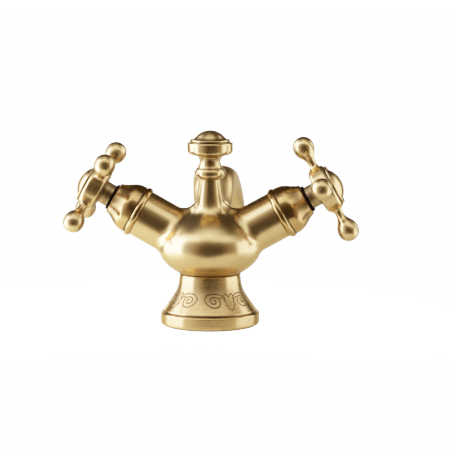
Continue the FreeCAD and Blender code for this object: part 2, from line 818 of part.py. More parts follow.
def cross_handle():
    """The cross handle: a round hub, four pear arms and a splined neck."""
    hub = turned(
        (0, NECK_START),
        (6.1, NECK_START),
        (6.1, 64.7),
        (10.0, 64.7),
        arc((11.6, 65.2), (HUB_RADIUS, 66.6)),
        (HUB_RADIUS, 71.9),
        arc((11.95, 72.8), (11.2, HUB_TOP)),
        (0, HUB_TOP),
    )
    arms = [turned_about_z(pear_arm(), 90 * i) for i in range(4)]
    body = joined(turned_about_z(hub, 45), *arms)
    body = body.makeFillet(2.4, neck_roots(body))
    socket = spline_bar(SPLINE_RADIUS + FIT, 59, 67.0)
    screw_hole = rod(2.6, 66, 70)
    head_well = rod(5.2, 69.5, 75)
    button_seat = rod(9.6, 72.5, 75)
    return body.cut([socket, screw_hole, head_well, button_seat])


def neck_roots(body):
    """The edges where the arms' necks leave the hub."""
    found = []
    for edge in body.Edges:
        box = edge.BoundBox
        reach = max(abs(box.Center.x), abs(box.Center.y))
        if abs(box.ZLength - 2 * NECK_RADIUS) < 0.05 and abs(reach - HUB_RADIUS) < 0.3:
            found.append(edge)
    return found


def index_button():
    """The domed button that covers the handle's screw."""
    flange_low = HUB_TOP + 0.4
    flange_high = flange_low + 0.9
    groove_z = flange_high - 0.4
    dome_radius = 8.9
    return turned(
        (0, 72.6),
        (9.2, 72.6),
        (9.5, 73.0),
        (9.5, flange_low),
        (10.6, flange_low),
        arc((10.85, flange_low + 0.45), (10.6, flange_high)),
        (dome_radius + 1.0, flange_high),
        (dome_radius + 0.8, groove_z),
        (dome_radius, groove_z),
        dome(dome_radius, groove_z, BUTTON_TOP),
    )


def handle_screw():
    """The screw that holds the handle on its spindle, with a driver slot."""
    screw = turned(
        (0, 58.5),
        (2.1, 58.5),
        (2.5, 58.9),
        (2.5, 69.5),
        (4.25, 69.5),
        (4.25, 71.9),
        (3.8, 72.4),
        (0, 72.4),
    )
    return screw.cut(bar(12, 1.2, 71.0, 73))


# ---- Placing and writing the pieces ----------------------------------------

def all_pieces():
    """Every piece in its place, by name."""
    pieces = {
        "body_casting": body_casting(),
        "inlet_block": inlet_block(),
        "pedestal": pedestal(),
        "base_gasket": base_gasket(),
        "spout": spout(),
        "spout_seal": spout_seal(),
        "spout_grub_screw": spout_grub_screw(),
        "aerator_housing": aerator_housing(),
        "aerator_insert": aerator_insert(),
        "aerator_washer": aerator_washer(),
        "chimney_ferrule": chimney_ferrule(),
        "rod_guide_bush": rod_guide_bush(),
        "rod_seal": rod_seal(),
        "lift_rod": lift_rod(),
        "lift_knob": lift_knob(),
        "knob_cap": knob_cap(),
    }
    fixed = {
        "bell_cap": bell_cap,
        "bell_washer": bell_washer,
        "headwork_body": headwork_body,
        "headwork_gasket": headwork_gasket,
        "seat_seal": seat_seal,
        "fixed_disc": fixed_disc,
        "slip_ring": slip_ring,
    }
    turning = {
        "handle": cross_handle,
        "index_button": index_button,
        "handle_screw": handle_screw,
        "spindle": spindle,
        "spindle_seals": spindle_seals,
        "spindle_circlip": spindle_circlip,
        "moving_disc": moving_disc,
    }
    for name, side, angle in (("hot", 1, HOT_HANDLE_ANGLE), ("cold", -1, COLD_HANDLE_ANGLE)):
        for piece, make in fixed.items():
            pieces[name + "_" + piece] = on_arm(make(), side)
        tooth = 360 / SPLINE_TEETH
        spindle_angle = angle - tooth * round(angle / tooth)
        for piece, make in turning.items():
            turn = angle if piece in ("handle", "index_button", "handle_screw") else spindle_angle
            pieces[name + "_" + piece] = on_arm(turned_about_z(make(), turn), side)
    return pieces


os.makedirs("parts", exist_ok=True)
for node, shape in all_pieces().items():
    shape.exportStep("parts/" + node + ".step")
    print(node, shape.isValid(), len(shape.Solids), round(shape.Volume, 1))
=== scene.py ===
# %% [markdown]
# # A two-handle basin tap in antique brass
#
# The tap stands on a turned pedestal with engraved scrolls. A bulb carries two
# raised arms with cross handles, a chimney with a lift knob, and behind it a
# short spout. The solid pieces come from the CAD model, which is loaded as a
# fixed frame. This lesson gives them their finish, engraves the pedestal, and
# sets up the studio.

# %% Load the solid model
import math

import bmesh
import bpy
import numpy as np
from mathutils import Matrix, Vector


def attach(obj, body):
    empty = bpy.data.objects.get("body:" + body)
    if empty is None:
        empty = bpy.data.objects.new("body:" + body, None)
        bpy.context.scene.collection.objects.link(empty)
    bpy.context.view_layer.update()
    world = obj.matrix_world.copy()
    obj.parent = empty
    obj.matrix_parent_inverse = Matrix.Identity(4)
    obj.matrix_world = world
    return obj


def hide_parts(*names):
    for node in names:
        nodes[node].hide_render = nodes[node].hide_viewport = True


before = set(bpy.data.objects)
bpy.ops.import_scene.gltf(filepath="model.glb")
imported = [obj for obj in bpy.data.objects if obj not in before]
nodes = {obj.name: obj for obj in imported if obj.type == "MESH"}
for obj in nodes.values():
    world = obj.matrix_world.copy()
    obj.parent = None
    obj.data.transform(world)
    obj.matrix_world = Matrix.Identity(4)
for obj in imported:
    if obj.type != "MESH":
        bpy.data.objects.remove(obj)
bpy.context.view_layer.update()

MM = 0.001

# %% [markdown]
# ## The camera
#
# The photograph was taken from a little above the basin and slightly to the hot
# side. A wide lens close by would make the nearer arm larger and curve the
# rings more, so a long lens stands over a metre away, where both arms look
# almost the same size. Depth of field stays off, so every ring is sharp.

# %% Camera
LOOK_AT = Vector((0, 0, 50 * MM))
CAMERA_DISTANCE = 1.2
CAMERA_SIDE = math.radians(4.5)
CAMERA_RISE = math.radians(7.6)
SENSOR_WIDTH, LENS = 36.0, 183.4
SHIFT_ACROSS, SHIFT_UP = 0.0333, 0.0104


def direction(side, rise):
    """A unit vector: side is turned from -Y towards +X, and rise is up."""
    flat = math.cos(rise)
    return Vector((math.sin(side) * flat, -math.cos(side) * flat, math.sin(rise)))


towards_camera = direction(CAMERA_SIDE, CAMERA_RISE)
camera_data = bpy.data.cameras.new("camera")
camera_data.sensor_width = SENSOR_WIDTH
camera_data.lens = LENS
camera_data.shift_x = SHIFT_ACROSS
camera_data.shift_y = SHIFT_UP
camera = bpy.data.objects.new("camera", camera_data)
camera.location = LOOK_AT + towards_camera * CAMERA_DISTANCE
camera.rotation_euler = (-towards_camera).to_track_quat("-Z", "Y").to_euler()
bpy.context.scene.collection.objects.link(camera)
bpy.context.scene.camera = camera
print("camera at", [round(x, 3) for x in camera.location])

# %% [markdown]
# ## Shader maths as expressions
#
# A finish is worked out from a point's place: how far it is along a piece, how
# far from its axis, and what a noise says there. In the shader editor that is a
# web of Math nodes. A small class that stands for a node's output lets us write
# the same web as a formula, and each operation adds its node.

# %% A wire that counts like a number
class Wire:
    """The output of a node, used like a number in an expression."""

    def __init__(self, tree, output=None):
        self.tree = tree
        self.output = output

    def node(self, kind, settings=None, inputs=None, give=0):
        """Adds a node: its settings first, then its sockets' values or links."""
        made = self.tree.nodes.new(kind)
        for name, value in (settings or {}).items():
            setattr(made, name, value)
        for name, value in (inputs or {}).items():
            self.plug(made.inputs[name], value)
        return Wire(self.tree, made.outputs[give])

    def plug(self, socket, value):
        """Links a wire to a socket, or sets the socket's value."""
        if isinstance(value, Wire):
            self.tree.links.new(value.output, socket)
        else:
            socket.default_value = value

    def maths(self, operation, *values):
        """A Math node on numbers and wires."""
        return self.node("ShaderNodeMath", {"operation": operation}, dict(enumerate(values)))

    def __add__(self, other):
        return self.maths("ADD", self, other)

    def __radd__(self, other):
        return self.maths("ADD", other, self)

    def __sub__(self, other):
        return self.maths("SUBTRACT", self, other)

    def __rsub__(self, other):
        return self.maths("SUBTRACT", other, self)

    def __mul__(self, other):
        return self.maths("MULTIPLY", self, other)

    def __rmul__(self, other):
        return self.maths("MULTIPLY", other, self)

    def parts(self):
        """The x, y and z of a vector."""
        split = self.node("ShaderNodeSeparateXYZ", inputs={0: self})
        return [Wire(self.tree, out) for out in split.output.node.outputs]

    def size(self):
        """The value without its sign."""
        return self.maths("ABSOLUTE", self)

    def root(self):
        """The square root."""
        return self.maths("SQRT", self)

    def over(self, other):
        """The larger of two values."""
        return self.maths("MAXIMUM", self, other)

    def step(self, low, high):
        """0 below low, 1 above high, and a smooth rise between them."""
        settings = {"interpolation_type": "SMOOTHSTEP"}
        inputs = {0: self, 1: low, 2: high, 3: 0.0, 4: 1.0}
        return self.node("ShaderNodeMapRange", settings, inputs)

    def window(self, low, high, soft):
        """1 between low and high, fading over soft on both sides."""
        return self.step(low - soft, low + soft) * (1 - self.step(high - soft, high + soft))

    def line(self, place, half_width):
        """1 at a place, falling to 0 at half_width from it."""
        return 1 - (self - place).size().step(0.0, half_width)

    def mix(self, colour, other):
        """A colour where this is 0, and the other where it is 1."""
        inputs = {0: self, 6: colour, 7: other}
        return self.node("ShaderNodeMix", {"data_type": "RGBA"}, inputs, give=2)


print("wires can be added, multiplied and mixed")

# %% [markdown]
# A material starts empty, so that nothing is left of the default shader. Colours
# are linear, with an alpha of 1.

# %% Colours and empty materials
def rgb(red, green, blue):
    """A colour with full alpha."""
    return (red, green, blue, 1.0)


def new_material(name):
    """An empty node material, its start wire and its output socket."""
    material = bpy.data.materials.new(name)
    material.use_nodes = True
    material.node_tree.nodes.clear()
    start = Wire(material.node_tree)
    out = material.node_tree.nodes.new("ShaderNodeOutputMaterial")
    return material, start, out.inputs["Surface"]


print("materials start empty")

# %% [markdown]
# ## The studio
#
# Brass shows what stands round it. In the photograph the flanks of every turned
# piece are almost white, so a tall softbox stands at each side, the left one
# nearer and brighter. Lamps would do it too, but a sky that is painted by its
# direction gives soft lights without noise. In it, side is 0 towards the camera
# and grows to the right, and rise is 0 at the horizon, both in degrees.
#
# The right box is taller towards the back, because the pedestal's flared right
# flank mirrors it from above.

# %% Softboxes at both sides
LEFT_BOX = {"light": 5.8, "sides": (-116, -62), "soft": 3, "top": (36, 47)}
RIGHT_BOX = {"light": 2.8, "sides": (70, 128), "soft": 8, "top": (20, 38)}
RIGHT_BOX_RISES_FROM, RIGHT_BOX_SLOPE = 95, 0.6


def softbox(box, side, rise):
    """A glowing box between its two sides, which fades out at its top."""
    return side.window(*box["sides"], box["soft"]) * (1 - rise.step(*box["top"])) * box["light"]


def side_light(side, rise):
    """Both softboxes."""
    sloped = rise - (side - RIGHT_BOX_RISES_FROM).over(0) * RIGHT_BOX_SLOPE
    return softbox(LEFT_BOX, side, rise) + softbox(RIGHT_BOX, side, sloped)


print("softboxes of", LEFT_BOX["light"], "and", RIGHT_BOX["light"])

# %% [markdown]
# The arms and the bulb have a pale band above their dark middles. It mirrors a
# strip of light overhead, which droops to both sides and is brighter at the
# left. Above the strip is a pale ceiling.

# %% Light from above
STRIP = {"light": 1.7, "sides": (-75, 72), "soft": 25, "rises": (48, 74), "edge": 5}
STRIP_DROOP = 0.22
STRIP_LEFT_SIDES, STRIP_LEFT_GAIN = (-45, -10), 0.7
CEILING = {"light": 0.95, "sides": (-90, 90), "soft": 30, "rises": (60, 72)}


def light_from_above(side, rise):
    """The drooping strip and the ceiling above it."""
    arch = rise + side.size() * STRIP_DROOP
    strip = side.window(*STRIP["sides"], STRIP["soft"])
    strip = strip * arch.window(*STRIP["rises"], STRIP["edge"])
    strip = strip * (1 + (1 - side.step(*STRIP_LEFT_SIDES)) * STRIP_LEFT_GAIN)
    ceiling = side.window(*CEILING["sides"], CEILING["soft"]) * rise.step(*CEILING["rises"])
    return strip * STRIP["light"] + ceiling * CEILING["light"]


print("strip of", STRIP["light"], "and ceiling of", CEILING["light"])

# %% [markdown]
# The middles of the pieces mirror the dim room behind the camera. It isn't
# black: the softboxes leave a glow beside them, there is a haze in front and at
# the top, and a white wall far behind gives each outline its pale edge.

# %% The dim room
ROOM = 0.045
FRONT_HAZE, FRONT_HAZE_RISES, FRONT_HAZE_SIDES = 0.15, (16, 44), (60, 100)
TOP_HAZE, TOP_HAZE_RISES = 0.4, (66, 84)
BACK_LEFT_HAZE, BACK_LEFT_SIDES, BACK_LEFT_RISES = 0.3, (-118, -96), (10, 30)
LEFT_GLOW, LEFT_GLOW_SIDES = 1.1, (-75, -8)
RIGHT_GLOW, RIGHT_GLOW_SIDES = 0.4, (25, 75)
GLOW_RISES, GLOW_BACK = (40, 60), (118, 130)
WALL, WALL_SIDES, WALL_RISES = 2.2, (140, 152), (8, 18)
WALL_DIM_SIDES, WALL_DIM = (-90, 90), 0.6


def room_light(side, rise):
    """The room's own light, with its hazes and the glow beside the softboxes."""
    off_centre = side.size()
    front = rise.step(*FRONT_HAZE_RISES) * (1 - off_centre.step(*FRONT_HAZE_SIDES)) * FRONT_HAZE
    back = (1 - side.step(*BACK_LEFT_SIDES)) * (1 - rise.step(*BACK_LEFT_RISES)) * BACK_LEFT_HAZE
    glow = (1 - side.step(*LEFT_GLOW_SIDES)) * LEFT_GLOW + side.step(*RIGHT_GLOW_SIDES) * RIGHT_GLOW
    glow = glow * (1 - rise.step(*GLOW_RISES)) * (1 - off_centre.step(*GLOW_BACK))
    return ROOM + front + back + rise.step(*TOP_HAZE_RISES) * TOP_HAZE + glow


def wall_light(side, rise):
    """The white wall behind the tap, dimmer at the right."""
    wall = side.size().step(*WALL_SIDES) * (1 - rise.step(*WALL_RISES))
    return wall * (1 - side.step(*WALL_DIM_SIDES) * WALL_DIM) * WALL


print("room of", ROOM, "with a wall of", WALL)

# %% [markdown]
# The colour follows the light: the dim room is warm, the middle tones are
# neutral, and the boxes are cool, as daylight lamps are in a warm room. That
# keeps the brass brown in its darks and cream in its lights.

# %% Paint the sky
WARM = rgb(1.42, 1.0, 0.60)
NEUTRAL = rgb(0.98, 1.0, 1.08)
COOL = rgb(0.90, 1.0, 1.46)
WARM_TO_NEUTRAL, NEUTRAL_TO_COOL = (0.1, 0.7), (1.5, 5.0)


def paint_sky():
    """Puts all lights into the world."""
    world = bpy.data.worlds.new("studio")
    bpy.context.scene.world = world
    world.use_nodes = True
    world.node_tree.nodes.clear()
    start = Wire(world.node_tree)
    x, y, z = start.node("ShaderNodeTexCoord", give="Generated").parts()
    side = x.maths("ARCTAN2", x, -1 * y) * math.degrees(1)
    rise = z.maths("ARCSINE", z) * math.degrees(1)
    light = room_light(side, rise) + side_light(side, rise)
    light = light + wall_light(side, rise) + light_from_above(side, rise)
    colour = light.step(*WARM_TO_NEUTRAL).mix(WARM, NEUTRAL)
    colour = light.step(*NEUTRAL_TO_COOL).mix(colour, COOL)
    sky = start.node("ShaderNodeBackground", inputs={"Color": colour, "Strength": light})
    out = world.node_tree.nodes.new("ShaderNodeOutputWorld")
    start.plug(out.inputs["Surface"], sky)
    return len(world.node_tree.nodes)


print("sky of", paint_sky(), "nodes")

# %% [markdown]
# ## Floor and backdrop
#
# The camera sees a pale floor and a pale dome, both as overexposed as the
# studio's. They could also light the brass, but then its undersides would turn
# white. So each piece of the stage says who sees it: the camera, the brass, or
# both.

# %% Pieces of the stage
def stage_mesh(name, material, make, seen, mirrored):
    """A piece of the studio: seen by the camera, mirrored by the brass, or both."""
    mesh = bpy.data.meshes.new(name)
    shape = bmesh.new()
    make(shape)
    shape.to_mesh(mesh)
    shape.free()
    mesh.materials.append(material)
    piece = bpy.data.objects.new(name, mesh)
    bpy.context.scene.collection.objects.link(piece)
    piece.visible_camera = seen
    piece.visible_glossy = mirrored
    piece.visible_diffuse = mirrored
    piece.visible_transmission = mirrored
    piece.visible_shadow = False
    return piece


def disc(radius):
    """Makes a disc of a radius on the deck."""

    def make(shape):
        bmesh.ops.create_circle(shape, cap_ends=True, segments=96, radius=radius)

    return make


def dome(radius):
    """Makes a ball that is seen from inside."""

    def make(shape):
        bmesh.ops.create_uvsphere(shape, u_segments=64, v_segments=32, radius=radius)
        bmesh.ops.reverse_faces(shape, faces=shape.faces)

    return make


print("stage pieces can be made")

# %% [markdown]
# The floor and the dome are matt sheets with some light of their own.

# %% Bright floor and dome
FLOOR_RADIUS, FLOOR_ALBEDO, FLOOR_GLOW = 4.5, 0.9, 2.6
DOME_RADIUS, DOME_ALBEDO, DOME_GLOW = 5.0, 0.0, 4.5


def glowing_sheet(name, albedo, glow):
    """A matt sheet that also gives off some light of its own."""
    material, start, surface = new_material(name)
    matt = start.node("ShaderNodeBsdfDiffuse", inputs={"Color": rgb(albedo, albedo, albedo)})
    light = start.node("ShaderNodeEmission", inputs={"Strength": glow})
    start.plug(surface, start.node("ShaderNodeAddShader", inputs={0: matt, 1: light}))
    return material


floor_sheet = glowing_sheet("bright sheet", FLOOR_ALBEDO, FLOOR_GLOW)
stage_mesh("floor_seen", floor_sheet, disc(FLOOR_RADIUS), seen=True, mirrored=False)
dome_sheet = glowing_sheet("white backdrop", DOME_ALBEDO, DOME_GLOW)
stage_mesh("dome_seen", dome_sheet, dome(DOME_RADIUS), seen=True, mirrored=False)
print("floor of", FLOOR_RADIUS, "m and dome of", DOME_RADIUS, "m")

# %% [markdown]
# The undersides of the bulb and the arms mirror a pale, glossy table top close
# by, and the dim room beyond it. So the brass, but not the camera, sees a small
# table, which fades at its edge, leaves a dark wedge in front, and is lit from
# the left box, with painted light that glows on its left half as well.

# %% Table that only the brass mirrors
TABLE_RADIUS, TABLE_FADE = 0.2, (0.11, 0.19)
WEDGE_EDGE, WEDGE_SLOPE = (-0.088, -0.062), 0.35
TABLE_PALE, TABLE_GLOSS = rgb(0.84, 0.80, 0.64), 0.12
LIT_SIDE, DIM_SIDE = rgb(1.0, 1.0, 0.9), rgb(0.14, 0.14, 0.126)
LIT_TO_DIM, TABLE_GLOW = (-0.13, -0.01), 1.05


def table_top(name):
    """A pale, glossy table top that leaves a dark wedge in front."""
    material, start, surface = new_material(name)
    x, y, z = start.node("ShaderNodeTexCoord", give="Object").parts()
    there = 1 - (x * x + y * y).root().step(*TABLE_FADE)
    there = there * (y + x.size() * WEDGE_SLOPE).step(*WEDGE_EDGE)
    top = {
        "Base Color": TABLE_PALE,
        "Roughness": TABLE_GLOSS,
        # Painted light: the left half glows pale and the right half dim.
        "Emission Color": x.step(*LIT_TO_DIM).mix(LIT_SIDE, DIM_SIDE),
        "Emission Strength": TABLE_GLOW,
    }
    sheet = start.node("ShaderNodeBsdfPrincipled", inputs=top)
    clear = start.node("ShaderNodeBsdfTransparent")
    start.plug(surface, start.node("ShaderNodeMixShader", inputs={0: there, 1: clear, 2: sheet}))
    return material


table = table_top("pale table")
stage_mesh("table_mirrored", table, disc(TABLE_RADIUS), seen=False, mirrored=True)
print("table of", TABLE_RADIUS, "m")

# %% [markdown]
# ## Film
#
# Film doesn't cut bright light off: it rolls over into white, and that is why
# the bright brass looks cream and not orange. A curve in the colour management
# does the same, with a soft shoulder up to four times the middle brightness.

# %% Film curve
FILM_SPEED = 1.25
FILM_WHITE = 4.0
FILM_POINTS = (0.02, 0.05, 0.1, 0.17, 0.26, 0.4, 0.6, 0.8)
view = bpy.context.scene.view_settings
view.view_transform = "Standard"
view.use_curve_mapping = True
film = view.curve_mapping
film.white_level = (FILM_WHITE,) * 3
film.clip_max_x = film.clip_max_y = 1.0
shoulder = film.curves[3]
for share in FILM_POINTS:
    shoulder.points.new(share, 1 - math.exp(-FILM_SPEED * FILM_WHITE * share))
film.update()
print("film curve with", len(shoulder.points), "points")

# %% [markdown]
# ## Antique brass
#
# Each brass piece is turned or cast, brushed round its axis, stained brown and
# then rubbed bright again, so the stain stays in the grooves. The finish is
# therefore described in the piece's own cylinder: how far along the axis, and
# how far from it. A Mapping node turns the object's coordinates onto that axis,
# and counts in millimetres.

# %% Places along a piece
ARM_TILT = math.radians(29.25)
ARM_ROOT_Z = 38.2
ARM_ROOT = Vector((0, 0, ARM_ROOT_Z * MM))
UPRIGHT = (Vector((0, 0, 0)), (0, 0, 0))
HOT_ARM = (ARM_ROOT, (0, math.pi / 2 - ARM_TILT, 0))
COLD_ARM = (ARM_ROOT, (0, ARM_TILT - math.pi / 2, 0))


def places(start, axis):
    """Wires in mm: the point in the axis' frame, along it, and away from it."""
    origin, turn = axis
    point = start.node("ShaderNodeTexCoord", give="Object")
    inputs = {"Vector": point, "Location": origin, "Rotation": turn, "Scale": (MM, MM, MM)}
    point = start.node("ShaderNodeMapping", {"vector_type": "TEXTURE"}, inputs)
    x, y, along = point.parts()
    return point, along, (x * x + y * y).root()


print("arms rise", round(math.degrees(ARM_TILT), 2), "degrees from", ARM_ROOT_Z, "mm")

# %% [markdown]
# A brush on a turning piece leaves rings that are fine across and long round the
# axis. A noise does the same when the point's two round directions are squeezed
# and its height is stretched. A fourth coordinate moves with the radius, so that
# flat faces get their rings too. A soft cloud says where hands have worn it.

# %% Brush marks and wear
RING_STRETCH = (0.08, 0.08, 2.6)
RING_DRIFT = 2.2
CLOUD_SCALE = 0.11
NOISE_MIDDLE = 0.5
WORN_FROM, WORN_TO = 0.35, 0.75


def brush_marks(start, point, away):
    """Fine rings round the axis, from 0 to 1."""
    settings = {"operation": "MULTIPLY"}
    stretched = start.node("ShaderNodeVectorMath", settings, {0: point, 1: RING_STRETCH})
    rings = {"Vector": stretched, "W": away * RING_DRIFT, "Scale": 1.0, "Detail": 3.0, "Roughness": 0.6}
    return start.node("ShaderNodeTexNoise", {"noise_dimensions": "4D"}, rings)


def wear(start, point):
    """Soft patches, 1 where the finish is most worn."""
    cloud = {"Vector": point, "Scale": CLOUD_SCALE, "Detail": 4.0}
    return start.node("ShaderNodeTexNoise", inputs=cloud).step(WORN_FROM, WORN_TO)


print("rings", RING_STRETCH[2] / RING_STRETCH[0], "times as long as they are fine")

# %% [markdown]
# The stain stays where a cloth can't reach. An Ambient Occlusion node darkens the
# hollows of a cast shape, which paints shade there on top of their stain, and the
# grooves of a turned one are listed: along the axis, or as rims at a distance
# from it, each with its half width and strength.

# %% Where the stain and the painted shade stay
HOLLOW_REACH = 7 * MM
HOLLOW_FROM, HOLLOW_TO = 0.10, 0.45
HOLLOW_SHADE_AND_STAIN = 0.9


def stain_and_shade_mask(start, along, away, grooves, rims, extra):
    """1 where the mark is full: stain with painted shade in hollows, stain in grooves and rims, and an
    extra place.
    """
    shelter = {"samples": 8, "only_local": True}
    open_share = start.node(
        "ShaderNodeAmbientOcclusion", shelter, {"Distance": HOLLOW_REACH}, give="AO"
    )
    # The occlusion paints shade into the hollows, on top of their stain.
    stain_and_shade = (1 - open_share).step(HOLLOW_FROM, HOLLOW_TO) * HOLLOW_SHADE_AND_STAIN
    for place, half_width, strength in grooves:
        stain_and_shade = stain_and_shade.over(along.line(place, half_width) * strength)
    for place, half_width, strength in rims:
        stain_and_shade = stain_and_shade.over(away.line(place, half_width) * strength)
    return stain_and_shade.over(extra(start)) if extra else stain_and_shade


print("hollows are felt over", HOLLOW_REACH / MM, "mm")

# %% [markdown]
# The rings are too fine to see one by one, but together they smear reflections
# along the axis and leave them sharp round it. That is what the Anisotropic
# socket does, turned by a quarter, so that the metal looks brushed at any
# distance. The Specular Tint keeps the brass yellow at grazing angles, where a
# pure metal would turn white.

# %% Brushed and stained brass, with painted shade in its hollows
BRASS = rgb(0.73, 0.50, 0.20)
BROWN_BRASS = rgb(0.50, 0.29, 0.09)
DARK_STAIN_AND_SHADE = rgb(0.085, 0.040, 0.016)
GRAZING_TINT = rgb(0.95, 0.84, 0.62)
QUARTER_TURN = 0.25
BROWN_BY_WEAR, BROWN_BY_RINGS = 0.22, 0.25
STAIN_AND_SHADE_COVER, STAIN_AND_SHADE_COVER_BY_WEAR = 0.75, 0.25
ROUGH_BY_RINGS, ROUGH_BY_STAIN_AND_SHADE, ROUGH_BY_WEAR = 0.10, 0.20, 0.03
RING_BUMP, RING_DEPTH = 0.07, 0.02 * MM


def antique_brass(
    name, axis, grooves=(), rims=(), brown=0.12, roughness=0.24, brushing=0.8, extra=None
):
    """Brushed brass with stain in its grooves (along the axis) and rims (from it)."""
    material, start, surface = new_material(name)
    point, along, away = places(start, axis)
    rings = brush_marks(start, point, away)
    worn = wear(start, point)
    stain_and_shade = stain_and_shade_mask(start, along, away, grooves, rims, extra)
    brownness = (brown + worn * BROWN_BY_WEAR + (rings - NOISE_MIDDLE) * BROWN_BY_RINGS).over(0.0)
    colour = brownness.mix(BRASS, BROWN_BRASS)
    # The dark colour is stain in grooves and rims, and stain with painted shade in hollows.
    colour = (stain_and_shade * (STAIN_AND_SHADE_COVER + worn * STAIN_AND_SHADE_COVER_BY_WEAR)).mix(colour, DARK_STAIN_AND_SHADE)
    rough = roughness + (rings - NOISE_MIDDLE) * ROUGH_BY_RINGS
    rough = rough + stain_and_shade * ROUGH_BY_STAIN_AND_SHADE + worn * ROUGH_BY_WEAR
    bump = {"Height": rings, "Strength": RING_BUMP, "Distance": RING_DEPTH}
    metal = {
        "Base Color": colour,
        "Metallic": 1.0,
        "Roughness": rough,
        "Normal": start.node("ShaderNodeBump", inputs=bump),
        "Specular Tint": GRAZING_TINT,
        "Anisotropic": brushing,
        "Anisotropic Rotation": QUARTER_TURN,
    }
    start.plug(surface, start.node("ShaderNodeBsdfPrincipled", inputs=metal))
    return material


def dress(node, material):
    """Gives a CAD node its finish."""
    for slot in nodes[node].material_slots:
        slot.material = material


print("brass can be made")

# %% [markdown]
# ## The cast body
#
# The body is brushed round its bulb. The backs of its arms are darker, with brown
# stain and a painted dark reflection, and the place behind the chimney gets
# painted shade. These two places don't follow the axis, so each is a formula of
# its own.

# %% Darker places on body and spout: stain and painted shade
ARM_BACK_EDGE, ARM_BACK_START, ARM_BACK_STAIN_AND_SHADE = (9.0, 12.0), (15, 22), 0.7
SPOUT_ROOT_REACH, SPOUT_ROOT_SHADE = (15, 24), 0.75


def arm_backs_stain_and_shade(start):
    """The upper side of both arms, darker: brown stain with a painted dark reflection."""
    x, y, z = places(start, UPRIGHT)[0].parts()
    across = (z - ARM_ROOT_Z) * math.cos(ARM_TILT) - x.size() * math.sin(ARM_TILT)
    # A painted dark reflection, with brown stain, on the upper side of the arms.
    return across.step(*ARM_BACK_EDGE) * x.size().step(*ARM_BACK_START) * ARM_BACK_STAIN_AND_SHADE


def spout_root_shade(start):
    """Painted shade on the spout close behind the chimney."""
    away = places(start, UPRIGHT)[2]
    # Painted shade: the spout is darker near the chimney.
    return (1 - away.step(*SPOUT_ROOT_REACH)) * SPOUT_ROOT_SHADE


print("brown backs from", ARM_BACK_START[0], "mm, brown root to", SPOUT_ROOT_REACH[1], "mm")

# %% [markdown]
# Stain also sits at the seam above the pedestal, with painted shade from the
# bulb's overhang there, and under the ferrule, which is the bead on top of the
# chimney. The spout isn't turned but bent and polished, so it is brushed less,
# and a little rougher.

# %% Body, spout and ferrule
# The seam's band is stain with painted shade under the bulb.
SEAM_STAIN_AND_SHADE, UNDER_FERRULE = (29.0, 2.6, 0.45), (77.0, 0.7, 0.7)
FERRULE_GROOVES = [(77.1, 0.6, 0.9), (82.45, 0.45, 0.8)]
body_brass = antique_brass(
    "body brass",
    UPRIGHT,
    [SEAM_STAIN_AND_SHADE, UNDER_FERRULE],
    roughness=0.23,
    brushing=0.65,
    extra=arm_backs_stain_and_shade,
)
spout_brass = antique_brass(
    "spout brass", UPRIGHT, brown=0.45, roughness=0.30, brushing=0.3, extra=spout_root_shade
)
ferrule_brass = antique_brass("ferrule brass", UPRIGHT, FERRULE_GROOVES)
dress("body_casting", body_brass)
dress("spout", spout_brass)
dress("aerator_housing", spout_brass)
dress("chimney_ferrule", ferrule_brass)
print("body, spout and ferrule dressed")

# %% [markdown]
# ## The lift knob
#
# The knob's waist and the seam round its cap keep most of the stain.

# %% Knob and cap
KNOB_GROOVES, KNOB_RIM = [(82.5, 0.4, 0.8), (87.25, 0.7, 0.7)], (10.6, 0.9, 1.0)
CAP_GROOVES = [(96.2, 0.5, 1.0), (97.55, 0.3, 0.8)]
knob_brass = antique_brass("knob brass", UPRIGHT, KNOB_GROOVES, [KNOB_RIM])
cap_brass = antique_brass("knob cap brass", UPRIGHT, CAP_GROOVES)
dress("lift_knob", knob_brass)
dress("knob_cap", cap_brass)
dress("lift_rod", ferrule_brass)
print("knob, cap and rod dressed")

# %% [markdown]
# ## Bells and handles
#
# The bells are browner than the rest: the hand rubs the handles bright, and
# seldom the bells. Their bead stands between two stained grooves. The handles
# are cast with four pear-shaped arms, so they are hardly brushed round the axis.

# %% Bells, handles and buttons
BELL_GROOVES = [(41.4, 0.6, 1.0), (45.15, 0.9, 1.0), (57.6, 0.9, 0.6), (54.5, 4.0, 0.6)]
HANDLE_GROOVES = [(61.0, 3.8, 0.8), (64.8, 1.1, 0.8), (73.6, 0.6, 1.0)]
BUTTON_GROOVE, BUTTON_RIM = (73.7, 0.5, 1.0), (9.4, 0.6, 1.0)
for side, axis in (("hot", HOT_ARM), ("cold", COLD_ARM)):
    bell = antique_brass(
        side + " bell brass", axis, BELL_GROOVES, brown=0.74, roughness=0.155, brushing=0.4
    )
    handle = antique_brass(
        side + " handle brass", axis, HANDLE_GROOVES, roughness=0.27, brushing=0.3
    )
    button = antique_brass(side + " button brass", axis, [BUTTON_GROOVE], [BUTTON_RIM])
    dress(side + "_bell_cap", bell)
    dress(side + "_handle", handle)
    dress(side + "_index_button", button)
print("both arms dressed")

# %% [markdown]
# ## The other finishes
#
# Rubber, plastic, machined brass, ceramic, fibre and steel are mostly hidden,
# but each has its own grain, because the part may be taken apart. They differ
# only in colour, grain and gloss, so one function makes them all.

# %% A plain finish with its grain
GRAIN_FROM, GRAIN_TO = 0.3, 0.7
ROUGH_BY_GRAIN = 0.15
GRAIN_DEPTH = 0.05 * MM


